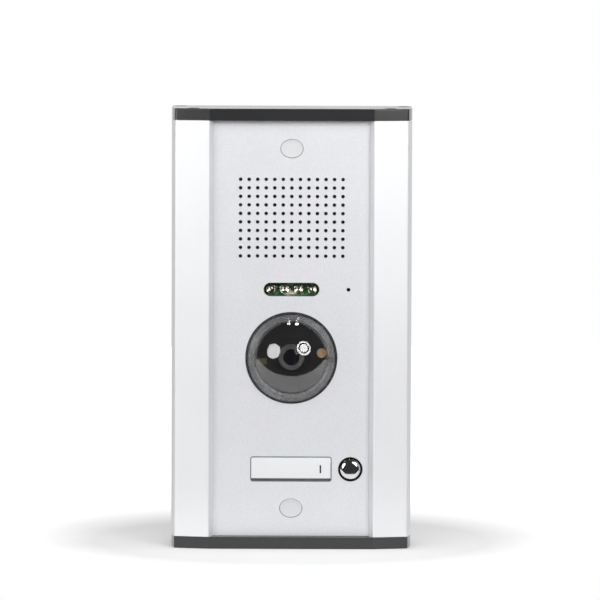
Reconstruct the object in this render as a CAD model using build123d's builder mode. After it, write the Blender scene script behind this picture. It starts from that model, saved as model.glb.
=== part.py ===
# Door intercom panel, surface mounted: extruded side rails, recessed faceplate, plastic end caps,
# camera dome, speaker, infrared lamps, microphone, call button and name window.
# Millimetres. X to the right, Z up, and the wall is the plane Y = 0. The front looks along -Y,
# so a distance in front of the wall, called a depth here, is -Y. The origin is the middle of
# the rear face.
import os

from build123d import *

os.makedirs("parts", exist_ok=True)

# ---- driving dimensions ------------------------------------------------------------------------
panel_width = 130.0
panel_height = 238.0
body_depth = 40.0         # wall to the crest of the rails
cap_height = 6.5
rail_face = 22.7          # width of each rail seen from the front
crest_inset = 20.6        # side of the panel to the rail's crest
recess = 5.0              # crest down to the faceplate
wing_drop = 4.1           # crest to the front outer corner
side_lean = 2.0           # how far the side curves in at the front corner
side_curve_depth = 15.9   # length of that curve
rail_wall = 1.8
plate_thickness = 2.0
board_thickness = 1.6

# ---- clearances --------------------------------------------------------------------------------
slide_fit = 0.1           # faceplate in its slots, trim in its openings
running_fit = 0.05        # shafts in bores, on the radius
edge_gap = 0.3            # parts that pass near each other
end_gap = 0.2             # faceplate to the end caps
plug_gap = 0.25           # around the oval plugs
screw_slack = 0.25        # screws through plastic, on the radius

# ---- screws and spacers --------------------------------------------------------------------------
screw_radius = 1.5
screw_head_radius, screw_head_height = 2.75, 1.8
screw_hole_radius = screw_radius + 0.1
screw_grip = 3.6                        # thread below the head
cross_width, cross_depth = 0.8, 2.0     # the cross in a screw's head, its cutter half sunk
cross_share = 0.65                      # length of the cross, of the head's diameter
spacer_radius, long_spacer_radius = 2.3, 2.75

# ---- sizes of what shows on the faceplate --------------------------------------------------------
plug_width, plug_height = 12.0, 9.8
grille_pitch, grille_hole_radius = 4.6, 1.0
grille_columns, grille_rows = 13, 10
speaker_radius = 28.5
lamp_slot_length, lamp_slot_width = 30.1, 7.4
mic_hole_radius = 1.05
dome_radius = 24.3
label_width, label_height, label_corner = 43.8, 13.5, 1.3
button_radius = 5.5
collar_radius = button_radius + 1.1
retainer_radius = dome_radius + 8.7     # ring that clamps the dome from behind

# ---- depths and half sizes -----------------------------------------------------------------------
plate_front = body_depth - recess
plate_back = plate_front - plate_thickness
half_width = panel_width / 2
half_height = panel_height / 2
rail_end = half_height - cap_height
visible_half = half_width - rail_face
crest_half = half_width - crest_inset

# ---- places on the faceplate ---------------------------------------------------------------------
plug_z = half_height - 21.7
dome_z = half_height - 134.8
lamp_z = dome_z + retainer_radius + 4.0
speaker_z = lamp_z + speaker_radius + 10.3
mic_x = 30.7
label_z = 42.9 - half_height
button_x = label_width / 2 + collar_radius + 3.6
plug_places = [(0, plug_z), (0, -plug_z)]


def facing(depth):
    """Plane at a depth in front of the wall, seen from the front: x right, y up, normal outward."""
    return Plane(origin=(0, -depth, 0), x_dir=(1, 0, 0), z_dir=(0, -1, 0))


def lathe_plane(x, z):
    """Half plane through the axis at (x, z): its x is the radius, its y is the depth."""
    return Plane(origin=(x, 0, z), x_dir=(1, 0, 0), z_dir=(0, 0, -1))


def lathe_axis(x, z):
    """Axis through (x, z) towards the front."""
    return Axis((x, 0, z), (0, -1, 0))


def finish(part, name):
    """Label a piece and write it."""
    part.label = name
    export_step(part, f"parts/{name}.step")


# ==== end caps and rails ============================================================================
side_arc_radius = (side_curve_depth**2 + side_lean**2) / (2 * side_lean)
corner_depth = body_depth - wing_drop
corner_half = half_width - side_lean
corner_round, crest_round = 1.2, 0.5
slot_floor = visible_half + 3.2      # how far the faceplate reaches into each rail
lip = 1.2                            # thickness of the slot's front lip
rear_lip = 1.5

port_back = (half_width - 4.5, 8.0)
port_front = ((crest_half + corner_half) / 2 - 0.7, corner_depth - 2.4)
port_radius, port_bore = 3.2, 1.45
foot_width = 5.0


def outline_right():
    """Outer edge of the right half, from the wall round to the crest."""
    side_start = (half_width, -(corner_depth - side_curve_depth))
    corner = (corner_half, -corner_depth)
    Line((half_width, 0), side_start)
    RadiusArc(side_start, corner, side_arc_radius)
    Line(corner, (crest_half, -body_depth))


with BuildPart() as right_rail:
    with BuildSketch(Plane.XY.offset(-rail_end)) as rail_section:
        with BuildLine():
            outline_right()
            Polyline(
                (crest_half, -body_depth),
                (visible_half, -plate_front - lip),
                (visible_half, -plate_front - slide_fit / 2),
                (slot_floor, -plate_front - slide_fit / 2),
                (slot_floor, -plate_back + slide_fit / 2),
                (visible_half, -plate_back + slide_fit / 2),
                (visible_half, -plate_back + rear_lip),
                (slot_floor + rail_wall, -plate_back + rear_lip),
                (slot_floor + rail_wall, -plate_front - lip),
                (crest_half + rail_wall + 2.4, -body_depth + rail_wall + 0.8),
                (corner_half - rail_wall - 0.5, -corner_depth + rail_wall),
                (half_width - rail_wall, -corner_depth + side_curve_depth),
                (half_width - rail_wall, -rail_wall),
                (half_width - foot_width, -rail_wall),
                (half_width - foot_width, 0),
                (half_width, 0),
            )
        make_face()
        with Locations(*[(x, -depth) for x, depth in (port_back, port_front)]):
            Circle(port_radius)
        with Locations(*[(x, -depth) for x, depth in (port_back, port_front)]):
            Circle(port_bore, mode=Mode.SUBTRACT)
        corners = rail_section.vertices()
        fillet(corners.sort_by_distance((corner_half, -corner_depth))[0], corner_round)
        corners = rail_section.vertices()
        fillet(corners.sort_by_distance((crest_half, -body_depth))[0], crest_round)
    extrude(amount=2 * rail_end)
finish(right_rail.part, "right_rail")

with BuildPart() as left_rail:
    add(mirror(right_rail.part, about=Plane.YZ))
finish(left_rail.part, "left_rail")

cap_edge_round = 0.6
cap_head_radius, cap_head_height = 3.0, 2.2
cap_pocket_radius, cap_pocket_depth = 3.4, 2.6
cap_cross = 2 * cap_head_radius * cross_share
rib_height, rib_thickness = 5.0, 2.0
cap_places = [(side * x, depth) for side in (-1, 1) for x, depth in (port_back, port_front)]


def end_cap(inner, outward):
    """Solid cap on the rail ends; outward is +1 on top and -1 below."""
    with BuildPart() as cap:
        with BuildSketch(Plane.XY.offset(inner)) as plan:
            with BuildLine():
                outline_right()
                Line((crest_half, -body_depth), (0, -body_depth))
                Line((0, -body_depth), (0, 0))
                Line((0, 0), (half_width, 0))
            make_face()
            mirror(about=Plane.YZ)
            corners = plan.vertices().group_by(Axis.Y)[1]
            fillet(corners, corner_round)
        extrude(amount=outward * cap_height)
        outer_face = cap.faces().sort_by(Axis.Z)[-1 if outward > 0 else 0]
        fillet(outer_face.edges().filter_by(GeomType.LINE).sort_by(Axis.Y)[:3], cap_edge_round)
        rib_z = inner - outward * rib_height / 2
        rib_depth = plate_back - edge_gap - rib_thickness / 2
        with Locations((0, -rib_depth, rib_z)):
            Box(2 * visible_half - 4, rib_thickness, rib_height)
        pocket_z = inner + outward * cap_height
        with Locations(*[(x, -depth, inner + outward * cap_height / 2) for x, depth in cap_places]):
            Cylinder(screw_radius + screw_slack, cap_height * 1.2, mode=Mode.SUBTRACT)
        pocket_middle = pocket_z - outward * cap_pocket_depth / 2
        with Locations(*[(x, -depth, pocket_middle) for x, depth in cap_places]):
            Cylinder(cap_pocket_radius, cap_pocket_depth, mode=Mode.SUBTRACT)
    return cap.part


finish(end_cap(rail_end, 1), "top_cap")
finish(end_cap(-rail_end, -1), "bottom_cap")

cap_screw_grip = 12.0
with BuildPart() as cap_screws:
    for outward in (-1, 1):
        seat = outward * (half_height - cap_pocket_depth)
        middle = seat - outward * cap_screw_grip / 2
        with Locations(*[(x, -depth, middle) for x, depth in cap_places]):
            Cylinder(port_bore - running_fit, cap_screw_grip)
        with Locations(*[(x, -depth, seat + outward * cap_head_height / 2) for x, depth in cap_places]):
            Cylinder(cap_head_radius, cap_head_height)
        slot_z = seat + outward * cap_head_height
        with Locations(*[(x, -depth, slot_z) for x, depth in cap_places]):
            Box(cross_width, cap_cross, cross_depth, mode=Mode.SUBTRACT)
            Box(cap_cross, cross_width, cross_depth, mode=Mode.SUBTRACT)
finish(cap_screws.part, "cap_screws")

# ==== faceplate =====================================================================================
gasket_lip = 0.6                        # rubber edge seen round the dome
dome_opening_radius = dome_radius + gasket_lip
plate_half_width = slot_floor - slide_fit
plate_half_height = rail_end - end_gap

with BuildPart() as faceplate:
    with BuildSketch(facing(plate_back)):
        Rectangle(2 * plate_half_width, 2 * plate_half_height)
        with Locations(*plug_places):
            Ellipse(plug_width / 2 + plug_gap, plug_height / 2 + plug_gap, mode=Mode.SUBTRACT)
        with Locations((0, speaker_z)):
            with GridLocations(grille_pitch, grille_pitch, grille_columns, grille_rows):
                Circle(grille_hole_radius, mode=Mode.SUBTRACT)
        with Locations((0, lamp_z)):
            SlotOverall(lamp_slot_length, lamp_slot_width, mode=Mode.SUBTRACT)
        with Locations((mic_x, lamp_z)):
            Circle(mic_hole_radius, mode=Mode.SUBTRACT)
        with Locations((0, dome_z)):
            Circle(dome_opening_radius, mode=Mode.SUBTRACT)
        with Locations((0, label_z)):
            RectangleRounded(label_width + 2 * slide_fit, label_height + 2 * slide_fit,
                             label_corner + slide_fit, mode=Mode.SUBTRACT)
        with Locations((button_x, label_z)):
            Circle(collar_radius + running_fit, mode=Mode.SUBTRACT)
    extrude(amount=plate_thickness)
finish(faceplate.part, "faceplate")

# ==== back plate, fixing posts and screws, cups and plugs =========================================================
back_half_width = half_width - foot_width - edge_gap
back_half_height = rail_end - edge_gap
back_thickness = 3.0
back_corner = 5.0
seal_width, seal_thickness = 4.0, 1.2
wall_hole_radius = 2.25
wall_hole_pitch_x, wall_hole_pitch_z = 84.0, 160.0
main_width, main_height = 78.0, 74.0    # main board, in front of the back plate
main_z = dome_z - 6.7
cable_hole_radius = 10.0
cable_hole_z = main_z - main_height / 2 + 1.5 - cable_hole_radius
post_radius, post_thread = 5.0, 16.0
cup_depth, cup_wall, cup_floor = 8.0, 1.2, 2.0
cup_flange, cup_flange_thickness = 2.0, 1.5
cup_floor_depth = plate_back - cup_depth
fixing_radius, fixing_head_radius, fixing_head_height = 2.0, 3.7, 2.6
fixing_length, fixing_point, fixing_bevel = 14.0, 0.5, 0.8
fixing_cross = 2 * fixing_head_radius * cross_share
screw_seat = cup_floor_depth + cup_floor


def seal_ring():
    """Band round the edge of the back plate."""
    RectangleRounded(2 * back_half_width, 2 * back_half_height, back_corner)
    RectangleRounded(2 * (back_half_width - seal_width), 2 * (back_half_height - seal_width),
                     back_corner, mode=Mode.SUBTRACT)


with BuildPart() as back_plate:
    with BuildSketch(facing(0)):
        RectangleRounded(2 * back_half_width, 2 * back_half_height, back_corner)
        with GridLocations(wall_hole_pitch_x, wall_hole_pitch_z, 2, 2):
            Circle(wall_hole_radius, mode=Mode.SUBTRACT)
        with Locations((0, cable_hole_z)):
            Circle(cable_hole_radius, mode=Mode.SUBTRACT)
    extrude(amount=back_thickness)
    with BuildSketch(facing(0)):
        seal_ring()
    extrude(amount=seal_thickness, mode=Mode.SUBTRACT)
finish(back_plate.part, "back_plate")

with BuildPart() as wall_seal:
    with BuildSketch(facing(0)):
        seal_ring()
    extrude(amount=seal_thickness)
finish(wall_seal.part, "wall_seal")

with BuildPart() as fixing_posts:
    with BuildSketch(facing(back_thickness)):
        with Locations(*plug_places):
            RegularPolygon(post_radius, 6)
    extrude(amount=cup_floor_depth - back_thickness)
    with BuildSketch(facing(cup_floor_depth)):
        with Locations(*plug_places):
            Circle(fixing_radius + running_fit)
    extrude(amount=-post_thread, mode=Mode.SUBTRACT)
finish(fixing_posts.part, "fixing_posts")

with BuildPart() as screw_cups:
    for z in (plug_z, -plug_z):
        with BuildSketch(facing(cup_floor_depth)):
            with Locations((0, z)):
                Ellipse(plug_width / 2 + cup_wall, plug_height / 2 + cup_wall)
        extrude(amount=cup_depth)
        with BuildSketch(facing(plate_back)):
            with Locations((0, z)):
                Ellipse(plug_width / 2 + cup_wall + cup_flange, plug_height / 2 + cup_wall + cup_flange)
        extrude(amount=-cup_flange_thickness)
        with BuildSketch(facing(screw_seat)):
            with Locations((0, z)):
                Ellipse(plug_width / 2 + plug_gap, plug_height / 2 + plug_gap)
        extrude(amount=cup_depth, mode=Mode.SUBTRACT)
        with BuildSketch(facing(cup_floor_depth)):
            with Locations((0, z)):
                Circle(fixing_radius + screw_slack)
        extrude(amount=cup_depth, mode=Mode.SUBTRACT)
finish(screw_cups.part, "screw_cups")

with BuildPart() as fixing_screws:
    for z in (plug_z, -plug_z):
        with BuildSketch(lathe_plane(0, z)):
            with BuildLine():
                Polyline(
                    (0, screw_seat - fixing_length),
                    (fixing_radius - fixing_point, screw_seat - fixing_length),
                    (fixing_radius, screw_seat - fixing_length + fixing_point),
                    (fixing_radius, screw_seat),
                    (fixing_head_radius, screw_seat),
                    (fixing_head_radius, screw_seat + fixing_head_height - fixing_bevel),
                    (fixing_head_radius - fixing_bevel, screw_seat + fixing_head_height),
                    (0, screw_seat + fixing_head_height),
                    (0, screw_seat - fixing_length),
                )
            make_face()
        revolve(axis=lathe_axis(0, z))
        with Locations((0, -(screw_seat + fixing_head_height), z)):
            Box(fixing_cross, cross_depth, cross_width, mode=Mode.SUBTRACT)
            Box(cross_width, cross_depth, fixing_cross, mode=Mode.SUBTRACT)
finish(fixing_screws.part, "fixing_screws")

plug_proud, plug_rim, plug_dish, plug_edge = 0.3, 0.9, 0.35, 0.25
plug_bottom = screw_seat + fixing_head_height + edge_gap


def screw_plug(z):
    """Oval plug with a raised rim and a shallow dish, just clear of the screw's head."""
    with BuildPart() as plug:
        with BuildSketch(facing(plug_bottom)):
            with Locations((0, z)):
                Ellipse(plug_width / 2, plug_height / 2)
        extrude(amount=plate_front + plug_proud - plug_bottom)
        front = plug.faces().sort_by(Axis.Y)[0]
        fillet(front.edges(), plug_edge)
        with BuildSketch(facing(plate_front + plug_proud - plug_dish)):
            with Locations((0, z)):
                Ellipse(plug_width / 2 - plug_rim, plug_height / 2 - plug_rim)
        extrude(amount=2 * plug_dish, mode=Mode.SUBTRACT)
    return plug.part


finish(screw_plug(plug_z), "upper_screw_plug")
finish(screw_plug(-plug_z), "lower_screw_plug")

grommet_lip, grommet_bore, grommet_height, grommet_slope = 2.0, 5.0, 4.6, 0.8
with BuildPart() as cable_grommet:
    with BuildSketch(lathe_plane(0, cable_hole_z)):
        with BuildLine():
            Polyline(
                (grommet_bore, 0),
                (cable_hole_radius - running_fit, 0),
                (cable_hole_radius - running_fit, back_thickness),
                (cable_hole_radius + grommet_lip, back_thickness),
                (cable_hole_radius + grommet_lip - grommet_slope, grommet_height - grommet_slope),
                (grommet_bore + grommet_slope, grommet_height),
                (grommet_bore, grommet_height),
                (grommet_bore, 0),
            )
        make_face()
    revolve(axis=lathe_axis(0, cable_hole_z))
finish(cable_grommet.part, "cable_grommet")

# ==== camera dome ===================================================================================
dome_height = 16.0
dome_wall = 1.6
dome_flange = 1.2
gasket_thickness = 0.8
dome_sphere = (dome_radius**2 + dome_height**2) / (2 * dome_height)
dome_centre_depth = plate_front + dome_height - dome_sphere
flange_front = plate_back - gasket_thickness
flange_back = flange_front - dome_flange
inner_sphere = dome_sphere - dome_wall
dome_bore = dome_radius - dome_wall
dome_flange_radius = dome_radius + 3.7

with BuildPart() as dome_window:
    with BuildSketch(lathe_plane(0, dome_z)):
        inner_edge = (inner_sphere**2 - dome_bore**2) ** 0.5 + dome_centre_depth
        with BuildLine():
            inner_top = (0, dome_centre_depth + inner_sphere)
            outer_top = (0, plate_front + dome_height)
            Line(inner_top, outer_top)
            RadiusArc(outer_top, (dome_radius, plate_front), dome_sphere)
            Polyline(
                (dome_radius, plate_front),
                (dome_radius, flange_front),
                (dome_flange_radius, flange_front),
                (dome_flange_radius, flange_back),
                (dome_bore, flange_back),
                (dome_bore, inner_edge),
            )
            RadiusArc((dome_bore, inner_edge), inner_top, -inner_sphere)
        make_face()
    revolve(axis=lathe_axis(0, dome_z))
finish(dome_window.part, "dome_window")

with BuildPart() as dome_gasket:
    with BuildSketch(lathe_plane(0, dome_z)):
        with BuildLine():
            Polyline(
                (dome_radius + running_fit, flange_front),
                (dome_radius + running_fit, plate_front),
                (dome_opening_radius - running_fit, plate_front),
                (dome_opening_radius - running_fit, plate_back),
                (dome_flange_radius, plate_back),
                (dome_flange_radius, flange_front),
                (dome_radius + running_fit, flange_front),
            )
        make_face()
    revolve(axis=lathe_axis(0, dome_z))
finish(dome_gasket.part, "dome_gasket")

retainer_thickness = 2.5
retainer_bore = dome_bore - 3.1
retainer_screw_circle = retainer_radius - 2.4
retainer_screw_start = 45.0
groove_count, groove_pitch, groove_depth, groove_start = 3, 1.0, 0.25, 0.5
retainer_back = flange_back - retainer_thickness
pivot_depth = 24.0
pivot_pin_radius = 1.5
ear_inner, ear_outer = retainer_bore + 1.0, retainer_bore + 4.0
ear_half_width = 3.4
ear_end = pivot_depth - ear_half_width
pin_end = ear_outer - 0.4

with BuildPart() as dome_retainer:
    with BuildSketch(facing(retainer_back)):
        with Locations((0, dome_z)):
            Circle(retainer_radius)
            Circle(retainer_bore, mode=Mode.SUBTRACT)
            with PolarLocations(retainer_screw_circle, 4, retainer_screw_start):
                Circle(screw_hole_radius, mode=Mode.SUBTRACT)
    extrude(amount=retainer_thickness)
    for groove in range(groove_count):
        with BuildSketch(facing(flange_back)):
            with Locations((0, dome_z)):
                inner_radius = retainer_bore + groove_start + groove * groove_pitch
                Circle(inner_radius + groove_pitch / 2)
                Circle(inner_radius, mode=Mode.SUBTRACT)
        extrude(amount=-groove_depth, mode=Mode.SUBTRACT)
    for side in (-1, 1):
        with Locations((side * (ear_inner + ear_outer) / 2, -(retainer_back + ear_end) / 2, dome_z)):
            Box(ear_outer - ear_inner, retainer_back - ear_end, 2 * ear_half_width)
    with Locations(Location((0, -pivot_depth, dome_z), (0, 90, 0))):
        Cylinder(pivot_pin_radius + running_fit, 3 * ear_outer, mode=Mode.SUBTRACT)
finish(dome_retainer.part, "dome_retainer")

with BuildPart() as retainer_spacers:
    with BuildSketch(facing(flange_back)):
        with Locations((0, dome_z)):
            with PolarLocations(retainer_screw_circle, 4, retainer_screw_start):
                RegularPolygon(spacer_radius, 6)
                Circle(screw_radius + running_fit, mode=Mode.SUBTRACT)
    extrude(amount=plate_back - flange_back)
finish(retainer_spacers.part, "retainer_spacers")

# ==== tilting camera ================================================================================
carrier_radius = retainer_bore - 0.4
carrier_front = pivot_depth + 1.6
carrier_rim, carrier_wall = 3.0, 1.2
pin_root = 1.0                          # how far each pin starts inside the carrier's edge
holder_radius, holder_height, holder_round = 9.0, 3.0, 0.8
barrel_radius, barrel_height, barrel_neck, barrel_edge, lens_sink = 7.0, 2.9, 1.0, 0.4, 1.2
lens_radius, lens_rise = 4.4, 0.7
sensor_radius, sensor_height = 2.5, 1.6
sensor_place = (carrier_radius - sensor_radius - 0.4, 2.0)
connector_place = (3.2 - carrier_radius, -2.6)
connector_width, connector_length, connector_height = 5.4, 3.2, 1.2

with BuildPart() as camera_carrier:
    with BuildSketch(facing(pivot_depth)):
        with Locations((0, dome_z)):
            Circle(carrier_radius)
    extrude(amount=carrier_front - pivot_depth)
    with BuildSketch(facing(pivot_depth)):
        with Locations((0, dome_z)):
            Circle(carrier_radius)
            Circle(carrier_radius - carrier_wall, mode=Mode.SUBTRACT)
    extrude(amount=-carrier_rim)
    pin_length = pin_end - carrier_radius + pin_root
    for side in (-1, 1):
        pin_middle = side * (pin_end - pin_length / 2)
        with Locations(Location((pin_middle, -pivot_depth, dome_z), (0, 90, 0))):
            Cylinder(pivot_pin_radius, pin_length)
finish(camera_carrier.part, "camera_carrier")

with BuildPart() as camera_board:
    with BuildSketch(facing(pivot_depth - board_thickness)):
        with Locations((0, dome_z)):
            Circle(carrier_radius - carrier_wall - slide_fit)
    extrude(amount=board_thickness)
finish(camera_board.part, "camera_board")

holder_front = carrier_front + holder_height
with BuildPart() as lens_holder:
    with BuildSketch(facing(carrier_front)):
        with Locations((0, dome_z)):
            Circle(holder_radius)
    extrude(amount=holder_height)
    fillet(lens_holder.faces().sort_by(Axis.Y)[0].edges(), holder_round)
finish(lens_holder.part, "lens_holder")

barrel_front = holder_front + barrel_height
lens_seat = barrel_front - lens_sink
with BuildPart() as lens_barrel:
    with BuildSketch(lathe_plane(0, dome_z)):
        with BuildLine():
            Polyline(
                (0, holder_front),
                (barrel_radius - barrel_neck, holder_front),
                (barrel_radius - barrel_neck, holder_front + barrel_neck),
                (barrel_radius, holder_front + barrel_neck),
                (barrel_radius, barrel_front - barrel_edge),
                (barrel_radius - barrel_edge, barrel_front),
                (barrel_radius - 2 * barrel_edge, barrel_front),
                (lens_radius, lens_seat),
                (0, lens_seat),
                (0, holder_front),
            )
        make_face()
    revolve(axis=lathe_axis(0, dome_z))
finish(lens_barrel.part, "lens_barrel")

lens_sphere = (lens_radius**2 + lens_rise**2) / (2 * lens_rise)
with BuildPart() as lens_glass:
    with BuildSketch(lathe_plane(0, dome_z)):
        with BuildLine():
            Line((0, lens_seat), (0, lens_seat + lens_rise))
            RadiusArc((0, lens_seat + lens_rise), (lens_radius, lens_seat), lens_sphere)
            Line((lens_radius, lens_seat), (0, lens_seat))
        make_face()
    revolve(axis=lathe_axis(0, dome_z))
finish(lens_glass.part, "lens_glass")

with BuildPart() as light_sensor:
    with BuildSketch(facing(carrier_front)):
        with Locations((sensor_place[0], dome_z + sensor_place[1])):
            Circle(sensor_radius)
    extrude(amount=sensor_height)
finish(light_sensor.part, "light_sensor")

with BuildPart() as camera_connector:
    with BuildSketch(facing(carrier_front)):
        with Locations((connector_place[0], dome_z + connector_place[1])):
            Rectangle(connector_width, connector_length)
    extrude(amount=connector_height)
finish(camera_connector.part, "camera_connector")

# ==== infrared lamps ================================================================================
window_flange, window_flange_thickness = 2.0, 1.0
window_front = plate_front - edge_gap
lamp_pitch, lamp_count = 7.5, 4
lamp_radius, lamp_height, lamp_rim, lamp_rim_height = 2.5, 6.5, 0.35, 1.0
lamp_gap = 0.5                          # lamps to the window
lamp_tip = plate_back - window_flange_thickness - lamp_gap
lamp_board_front = lamp_tip - lamp_height
lamp_board_length, lamp_board_width = 44.0, 12.0
lamp_spacer_x = lamp_board_length / 2 - 2.6
board_corner = 1.5

with BuildPart() as lamp_window:
    with BuildSketch(facing(plate_back)):
        with Locations((0, lamp_z)):
            SlotOverall(lamp_slot_length - 2 * slide_fit, lamp_slot_width - 2 * slide_fit)
    extrude(amount=window_front - plate_back)
    with BuildSketch(facing(plate_back)):
        with Locations((0, lamp_z)):
            SlotOverall(lamp_slot_length + 2 * window_flange, lamp_slot_width + 2 * window_flange)
    extrude(amount=-window_flange_thickness)
finish(lamp_window.part, "lamp_window")

with BuildPart() as infrared_lamps:
    for lamp in range(lamp_count):
        lamp_x = (lamp - (lamp_count - 1) / 2) * lamp_pitch
        with BuildSketch(lathe_plane(lamp_x, lamp_z)):
            with BuildLine():
                Polyline(
                    (0, lamp_tip),
                    (0, lamp_board_front),
                    (lamp_radius + lamp_rim, lamp_board_front),
                    (lamp_radius + lamp_rim, lamp_board_front + lamp_rim_height),
                    (lamp_radius, lamp_board_front + lamp_rim_height),
                    (lamp_radius, lamp_tip - lamp_radius),
                )
                RadiusArc((lamp_radius, lamp_tip - lamp_radius), (0, lamp_tip), -lamp_radius)
            make_face()
        revolve(axis=lathe_axis(lamp_x, lamp_z))
finish(infrared_lamps.part, "infrared_lamps")

with BuildPart() as lamp_board:
    with BuildSketch(facing(lamp_board_front)):
        with Locations((0, lamp_z)):
            RectangleRounded(lamp_board_length, lamp_board_width, board_corner)
        with Locations((lamp_spacer_x, lamp_z), (-lamp_spacer_x, lamp_z)):
            Circle(screw_hole_radius, mode=Mode.SUBTRACT)
    extrude(amount=-board_thickness)
finish(lamp_board.part, "lamp_board")

with BuildPart() as lamp_spacers:
    with BuildSketch(facing(lamp_board_front)):
        with Locations((lamp_spacer_x, lamp_z), (-lamp_spacer_x, lamp_z)):
            RegularPolygon(spacer_radius, 6)
            Circle(screw_radius + running_fit, mode=Mode.SUBTRACT)
    extrude(amount=plate_back - lamp_board_front)
finish(lamp_spacers.part, "lamp_spacers")

# ==== microphone ====================================================================================
mic_radius, mic_height = 3.0, 2.7
boot_wall, boot_depth, boot_face = 1.4, 4.5, 1.2
mic_front = plate_back - boot_face
with BuildPart() as microphone_boot:
    with BuildSketch(lathe_plane(mic_x, lamp_z)):
        with BuildLine():
            Polyline(
                (mic_hole_radius, plate_back),
                (mic_radius + boot_wall, plate_back),
                (mic_radius + boot_wall, plate_back - boot_depth),
                (mic_radius + slide_fit, plate_back - boot_depth),
                (mic_radius + slide_fit, mic_front),
                (mic_hole_radius, mic_front),
                (mic_hole_radius, plate_back),
            )
        make_face()
    revolve(axis=lathe_axis(mic_x, lamp_z))
finish(microphone_boot.part, "microphone_boot")

with BuildPart() as microphone:
    with BuildSketch(facing(mic_front)):
        with Locations((mic_x, lamp_z)):
            Circle(mic_radius)
    extrude(amount=-mic_height)
finish(microphone.part, "microphone")

# ==== speaker =======================================================================================
cloth_margin, cloth_corner = 2.4, 3.0
cloth_width = grille_pitch * (grille_columns - 1) + 2 * cloth_margin
cloth_height = grille_pitch * (grille_rows - 1) + 2 * cloth_margin
cloth_thickness = 0.4
speaker_gasket_thickness = 1.5
speaker_rim = 2.8
basket_thickness, basket_depth, basket_back_radius, basket_wall = 1.0, 9.0, 14.0, 0.6
basket_window_circle, basket_window_radius = 19.0, 3.0
magnet_radius, magnet_height, magnet_round = 13.0, 6.0, 0.8
clamp_x, clamp_rise = speaker_radius + 4.5, 9.0
clamp_length, clamp_width, clamp_offset = 10.0, 6.0, 2.2
speaker_front = plate_back - cloth_thickness - speaker_gasket_thickness
basket_back = speaker_front - basket_thickness - basket_depth
pole_radius, pole_height = 5.9, 3.0
voice_coil_radius = 8.0
cone_sheet, cone_roll, cone_drop, dust_cap = 0.3, 1.2, 0.2, 2.0
cone_back = basket_back + basket_thickness + pole_height
cone_edge = speaker_radius - speaker_rim - 0.2

with BuildPart() as speaker_cloth:
    with BuildSketch(facing(plate_back)):
        with Locations((0, speaker_z)):
            RectangleRounded(cloth_width, cloth_height, cloth_corner)
    extrude(amount=-cloth_thickness)
finish(speaker_cloth.part, "speaker_cloth")

with BuildPart() as speaker_gasket:
    with BuildSketch(facing(speaker_front)):
        with Locations((0, speaker_z)):
            Circle(speaker_radius)
            Circle(speaker_radius - speaker_rim, mode=Mode.SUBTRACT)
    extrude(amount=speaker_gasket_thickness)
finish(speaker_gasket.part, "speaker_gasket")

with BuildPart() as speaker_frame:
    with BuildSketch(lathe_plane(0, speaker_z)):
        with BuildLine():
            Polyline(
                (speaker_radius, speaker_front),
                (speaker_radius, speaker_front - basket_thickness),
                (speaker_radius - speaker_rim, speaker_front - basket_thickness),
                (basket_back_radius, basket_back),
                (pole_radius + slide_fit, basket_back),
                (pole_radius + slide_fit, basket_back + basket_thickness),
                (basket_back_radius - basket_wall, basket_back + basket_thickness),
                (speaker_radius - speaker_rim - basket_wall, speaker_front),
                (speaker_radius, speaker_front),
            )
        make_face()
    revolve(axis=lathe_axis(0, speaker_z))
    with BuildSketch(facing(basket_back)):
        with Locations((0, speaker_z)):
            with PolarLocations(basket_window_circle, 4, 45.0):
                Circle(basket_window_radius)
    extrude(amount=basket_depth, mode=Mode.SUBTRACT)
finish(speaker_frame.part, "speaker_frame")

with BuildPart() as speaker_cone:
    with BuildSketch(lathe_plane(0, speaker_z)):
        with BuildLine():
            Polyline(
                (0, cone_back),
                (voice_coil_radius, cone_back),
                (cone_edge - cone_roll, speaker_front - cone_drop),
                (cone_edge - cone_roll, speaker_front),
                (cone_edge, speaker_front),
                (cone_edge, speaker_front + cone_sheet),
                (cone_edge - 2 * cone_roll, speaker_front + cone_sheet),
                (voice_coil_radius, cone_back + 1.0),
                (0, cone_back + 1.0 + dust_cap),
                (0, cone_back),
            )
        make_face()
    revolve(axis=lathe_axis(0, speaker_z))
finish(speaker_cone.part, "speaker_cone")

with BuildPart() as speaker_magnet:
    with BuildSketch(facing(basket_back)):
        with Locations((0, speaker_z)):
            Circle(magnet_radius)
    extrude(amount=-magnet_height)
    with BuildSketch(facing(basket_back)):
        with Locations((0, speaker_z)):
            Circle(pole_radius)
    extrude(amount=basket_thickness + pole_height)
    fillet(speaker_magnet.faces().sort_by(Axis.Y)[-1].edges(), magnet_round)
finish(speaker_magnet.part, "speaker_magnet")

clamp_places = [(side * clamp_x, speaker_z + up * clamp_rise) for side in (-1, 1) for up in (-1, 1)]
clamp_front = speaker_front - basket_thickness
clamp_thickness = 1.0
with BuildPart() as speaker_clamps:
    with BuildSketch(facing(clamp_front)):
        for x, z in clamp_places:
            with Locations((x - (clamp_offset if x > 0 else -clamp_offset), z)):
                RectangleRounded(clamp_length, clamp_width, 1.5)
        with Locations(*clamp_places):
            Circle(screw_hole_radius, mode=Mode.SUBTRACT)
    extrude(amount=-clamp_thickness)
finish(speaker_clamps.part, "speaker_clamps")

with BuildPart() as clamp_spacers:
    with BuildSketch(facing(clamp_front)):
        with Locations(*clamp_places):
            RegularPolygon(spacer_radius, 6)
            Circle(screw_radius + running_fit, mode=Mode.SUBTRACT)
    extrude(amount=plate_back - clamp_front)
finish(clamp_spacers.part, "clamp_spacers")

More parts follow.
